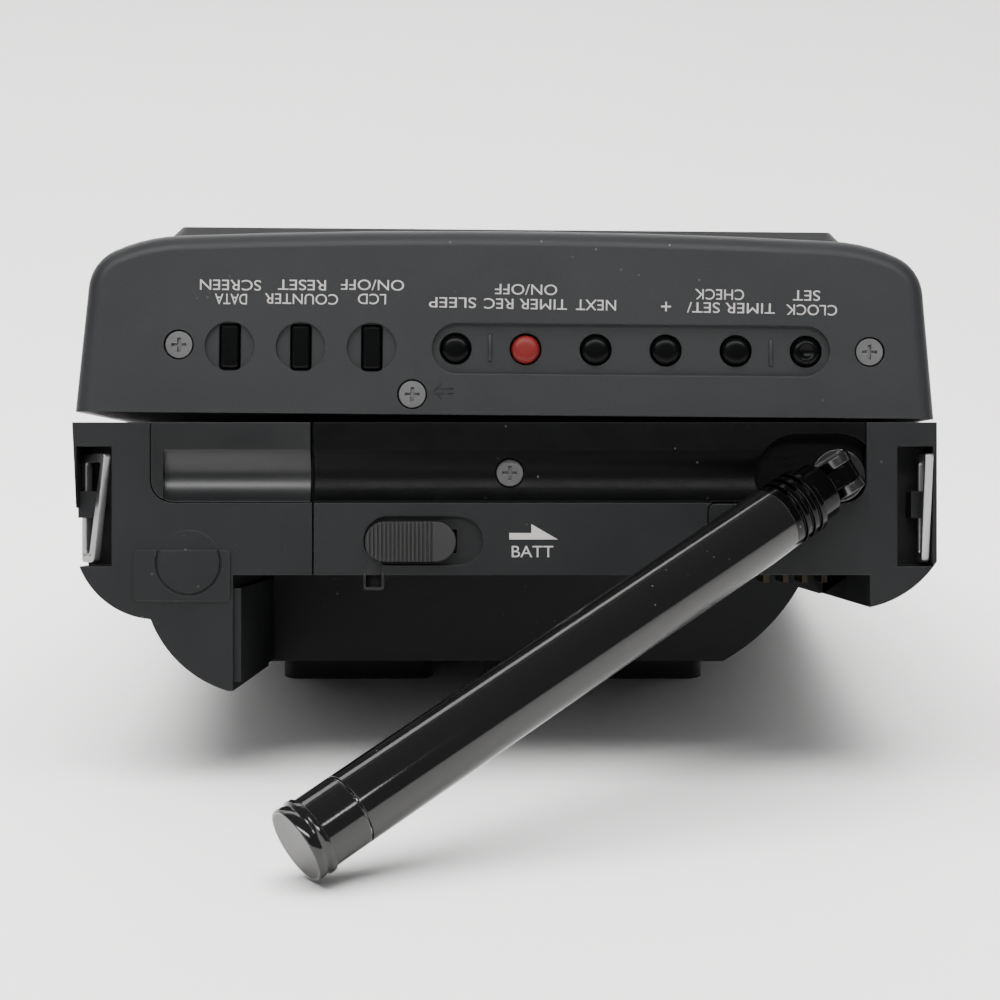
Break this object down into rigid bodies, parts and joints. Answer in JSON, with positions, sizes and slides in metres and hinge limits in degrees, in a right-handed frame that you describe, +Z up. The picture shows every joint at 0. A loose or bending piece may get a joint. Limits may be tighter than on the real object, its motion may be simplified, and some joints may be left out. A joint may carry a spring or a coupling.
{
  "type": "portable video cassette player",
  "caption": "Portable video cassette player on its back: display lid ajar over a deck with a telescopic aerial, strap rings, timer buttons and an empty battery bay.",
  "frame": {"origin": "middle of the floor that the player covers, aerial swung out, on the plane of the table", "axes": "+Z up from the table, +Y from the end with the timer buttons to the far end, +X towards the lid hinge"},
  "size_m": [0.1326, 0.2724, 0.0822],
  "materials": {
    "lid_shell": "fine-grained charcoal moulding",
    "deck_shell": "near-black moulding",
    "deck_plate": "satin black",
    "lid_plate": "satin black",
    "panel_textured": "spark-textured black",
    "panel_smooth": "smooth black",
    "screw_steel": "blackened steel",
    "display_surround": "satin black",
    "display_glass": "clear, smoked",
    "lcd": "dark liquid crystal panel",
    "inner_plastic": "plain",
    "circuit_board": "green board",
    "button_grey": "satin grey",
    "button_red": "red",
    "transport_key": "satin grey",
    "release_grey": "satin grey",
    "catch_plastic": "black",
    "contact_brass": "plated",
    "bright_wire": "nickel-plated wire",
    "foot_rubber": "moulded",
    "sheet_steel": "zinc-plated sheet",
    "mechanism_metal": "turned",
    "roller_rubber": "ground rubber",
    "hub_plastic": "white moulding",
    "jack_plastic": "black",
    "aerial_metal": "black-plated",
    "aerial_black": "gloss black",
    "aerial_chrome": "polished",
    "aerial_cap_grey": "black with a satin end"
  },
  "bodies": {
    "deck": {"lower_cabinet": "deck_shell", "end_housing": "deck_shell", "end_corner": "deck_shell", "corner_cabinet": "deck_shell", "trough_panel": "panel_textured", "trough_cover": "panel_smooth", "trough_screw": "screw_steel", "connector_cover": "panel_smooth", "battery_contacts": "contact_brass", "feet": "foot_rubber", "hinge_pins": "screw_steel", "deck_cover": "deck_plate", "chassis_plate": "sheet_steel", "drum_base": "mechanism_metal", "loading_motor": "mechanism_metal", "main_board": "circuit_board", "side_jacks": "jack_plastic"},
    "lid": {"upper_cabinet": "lid_shell", "lid_screws": "screw_steel", "inner_cover": "lid_plate", "display_frame": "display_surround", "display_window": "display_glass", "lcd_panel": "lcd", "lcd_backlight": "inner_plastic", "switch_boards": "circuit_board", "speaker": "inner_plastic"},
    "cassette_holder": {"cassette_holder": "sheet_steel"},
    "timer_button_1": {"timer_button_1": "button_grey"},
    "timer_button_2": {"timer_button_2": "button_red"},
    "timer_button_3": {"timer_button_3": "button_grey"},
    "timer_button_4": {"timer_button_4": "button_grey"},
    "timer_button_5": {"timer_button_5": "button_grey"},
    "timer_button_6": {"timer_button_6": "button_grey"},
    "timer_key_1": {"timer_key_1": "button_grey"},
    "timer_key_2": {"timer_key_2": "button_grey"},
    "timer_key_3": {"timer_key_3": "button_grey"},
    "rewind_key": {"rewind_key": "transport_key"},
    "play_key": {"play_key": "transport_key"},
    "forward_key": {"forward_key": "transport_key"},
    "pause_key": {"pause_key": "transport_key"},
    "stop_key": {"stop_key": "transport_key"},
    "battery_release": {"release_knob": "release_grey", "battery_catch": "catch_plastic"},
    "strap_ring_left": {"strap_ring_left": "bright_wire"},
    "strap_ring_right": {"strap_ring_right": "bright_wire"},
    "aerial_swivel": {"aerial_base": "aerial_metal", "aerial_pin": "aerial_metal"},
    "aerial_arm": {"aerial_ferrule": "aerial_metal", "aerial_tube": "aerial_black"},
    "aerial_section_2": {"aerial_section_2": "aerial_chrome"},
    "aerial_section_3": {"aerial_section_3": "aerial_chrome"},
    "aerial_tip": {"aerial_section_4": "aerial_chrome", "aerial_cap": "aerial_cap_grey"},
    "drum_rotor": {"drum_rotor": "mechanism_metal"},
    "capstan": {"capstan": "mechanism_metal"},
    "pinch_roller": {"pinch_roller": "roller_rubber"},
    "supply_hub": {"supply_hub": "hub_plastic"},
    "takeup_hub": {"takeup_hub": "hub_plastic"},
    "volume_dial": {"volume_dial": "catch_plastic"},
    "eject_slider": {"eject_slider": "catch_plastic"}
  },
  "joints": [
    {"name": "lid_hinge", "type": "hinge", "parent": "deck", "child": "lid", "pos_m": [0.06464, 0.04138, 0.03639], "axis": [0, 0.9892, -0.1464], "range_deg": [-0.5, 80]},
    {"name": "cassette_lift", "type": "hinge", "parent": "deck", "child": "cassette_holder", "pos_m": [0.04564, 0.0557, 0.03069], "axis": [0, 0.9892, -0.1464], "range_deg": [-0.2, 24.2]},
    {"name": "timer_button_1_press", "type": "slide", "parent": "lid", "child": "timer_button_1", "axis": [0, 0.9892, -0.1464], "range_m": [0, 0.0005], "stiffness_N_per_m": 250},
    {"name": "timer_button_2_press", "type": "slide", "parent": "lid", "child": "timer_button_2", "axis": [0, 0.9892, -0.1464], "range_m": [0, 0.0005], "stiffness_N_per_m": 250},
    {"name": "timer_button_3_press", "type": "slide", "parent": "lid", "child": "timer_button_3", "axis": [0, 0.9892, -0.1464], "range_m": [0, 0.0005], "stiffness_N_per_m": 250},
    {"name": "timer_button_4_press", "type": "slide", "parent": "lid", "child": "timer_button_4", "axis": [0, 0.9892, -0.1464], "range_m": [0, 0.0005], "stiffness_N_per_m": 250},
    {"name": "timer_button_5_press", "type": "slide", "parent": "lid", "child": "timer_button_5", "axis": [0, 0.9892, -0.1464], "range_m": [0, 0.0005], "stiffness_N_per_m": 250},
    {"name": "timer_button_6_press", "type": "slide", "parent": "lid", "child": "timer_button_6", "axis": [0, 0.9892, -0.1464], "range_m": [0, 0.0005], "stiffness_N_per_m": 250},
    {"name": "timer_key_1_press", "type": "slide", "parent": "lid", "child": "timer_key_1", "axis": [0, 0.9892, -0.1464], "range_m": [0, 0.0005], "stiffness_N_per_m": 250},
    {"name": "timer_key_2_press", "type": "slide", "parent": "lid", "child": "timer_key_2", "axis": [0, 0.9892, -0.1464], "range_m": [0, 0.0005], "stiffness_N_per_m": 250},
    {"name": "timer_key_3_press", "type": "slide", "parent": "lid", "child": "timer_key_3", "axis": [0, 0.9892, -0.1464], "range_m": [0, 0.0005], "stiffness_N_per_m": 250},
    {"name": "rewind_key_press", "type": "slide", "parent": "lid", "child": "rewind_key", "axis": [-0.0087, -0.1464, -0.9892], "range_m": [0, 0.0008], "stiffness_N_per_m": 250},
    {"name": "play_key_press", "type": "slide", "parent": "lid", "child": "play_key", "axis": [-0.0087, -0.1464, -0.9892], "range_m": [0, 0.0008], "stiffness_N_per_m": 250},
    {"name": "forward_key_press", "type": "slide", "parent": "lid", "child": "forward_key", "axis": [-0.0087, -0.1464, -0.9892], "range_m": [0, 0.0008], "stiffness_N_per_m": 250},
    {"name": "pause_key_press", "type": "slide", "parent": "lid", "child": "pause_key", "axis": [-0.0087, -0.1464, -0.9892], "range_m": [0, 0.0008], "stiffness_N_per_m": 250},
    {"name": "stop_key_press", "type": "slide", "parent": "lid", "child": "stop_key", "axis": [-0.0087, -0.1464, -0.9892], "range_m": [0, 0.0008], "stiffness_N_per_m": 250},
    {"name": "battery_release_slide", "type": "slide", "parent": "deck", "child": "battery_release", "axis": [1, 0, 0], "range_m": [0, 0.0036], "stiffness_N_per_m": 300},
    {"name": "strap_ring_left_swing", "type": "hinge", "parent": "deck", "child": "strap_ring_left", "pos_m": [-0.06346, -0.07447, 0.04186], "axis": [0, 0.1464, 0.9892], "range_deg": [-41, 1]},
    {"name": "strap_ring_right_swing", "type": "hinge", "parent": "deck", "child": "strap_ring_right", "pos_m": [0.06274, -0.07447, 0.04186], "axis": [0, -0.1464, -0.9892], "range_deg": [-1, 40]},
    {"name": "aerial_turn", "type": "hinge", "parent": "deck", "child": "aerial_swivel", "pos_m": [0.04934, -0.08209, 0.04638], "axis": [0, 0.9892, -0.1464], "continuous": true},
    {"name": "aerial_tilt", "type": "hinge", "parent": "aerial_swivel", "child": "aerial_arm", "pos_m": [0.04934, -0.08209, 0.04638], "axis": [-0.5314, 0.124, 0.838], "range_deg": [-15.5, 64.5]},
    {"name": "aerial_slide_2", "type": "slide", "parent": "aerial_arm", "child": "aerial_section_2", "axis": [-0.7646, -0.4961, -0.4114], "range_m": [0, 0.066]},
    {"name": "aerial_slide_3", "type": "slide", "parent": "aerial_section_2", "child": "aerial_section_3", "axis": [-0.7646, -0.4961, -0.4114], "range_m": [0, 0.066]},
    {"name": "aerial_slide_4", "type": "slide", "parent": "aerial_section_3", "child": "aerial_tip", "axis": [-0.7646, -0.4961, -0.4114], "range_m": [0, 0.066]},
    {"name": "drum_rotor_spin", "type": "hinge", "parent": "deck", "child": "drum_rotor", "pos_m": [-0.00036, -0.00581, 0.0317], "axis": [0, 0.1464, 0.9892], "continuous": true},
    {"name": "capstan_spin", "type": "hinge", "parent": "deck", "child": "capstan", "pos_m": [-0.02436, 0.01397, 0.02877], "axis": [0, 0.1464, 0.9892], "continuous": true},
    {"name": "pinch_roller_spin", "type": "hinge", "parent": "deck", "child": "pinch_roller", "pos_m": [-0.03636, 0.01397, 0.02877], "axis": [0, 0.1464, 0.9892], "continuous": true},
    {"name": "supply_hub_spin", "type": "hinge", "parent": "deck", "child": "supply_hub", "pos_m": [-0.02336, 0.05453, 0.02277], "axis": [0, 0.1464, 0.9892], "continuous": true},
    {"name": "takeup_hub_spin", "type": "hinge", "parent": "deck", "child": "takeup_hub", "pos_m": [0.02264, 0.05453, 0.02277], "axis": [0, 0.1464, 0.9892], "continuous": true},
    {"name": "volume_dial_turn", "type": "hinge", "parent": "deck", "child": "volume_dial", "pos_m": [-0.05886, 0.03954, 0.02398], "axis": [0, 0.1464, 0.9892], "range_deg": [0, 270]},
    {"name": "eject_slide", "type": "slide", "parent": "deck", "child": "eject_slider", "axis": [0, 0.9892, -0.1464], "range_m": [0, 0.005], "stiffness_N_per_m": 200}
  ],
  "couplings": [
    {"joint": "cassette_lift", "follows": "lid_hinge", "ratio": 0.3},
    {"joint": "aerial_slide_3", "follows": "aerial_slide_2", "ratio": 1},
    {"joint": "aerial_slide_4", "follows": "aerial_slide_2", "ratio": 1}
  ]
}
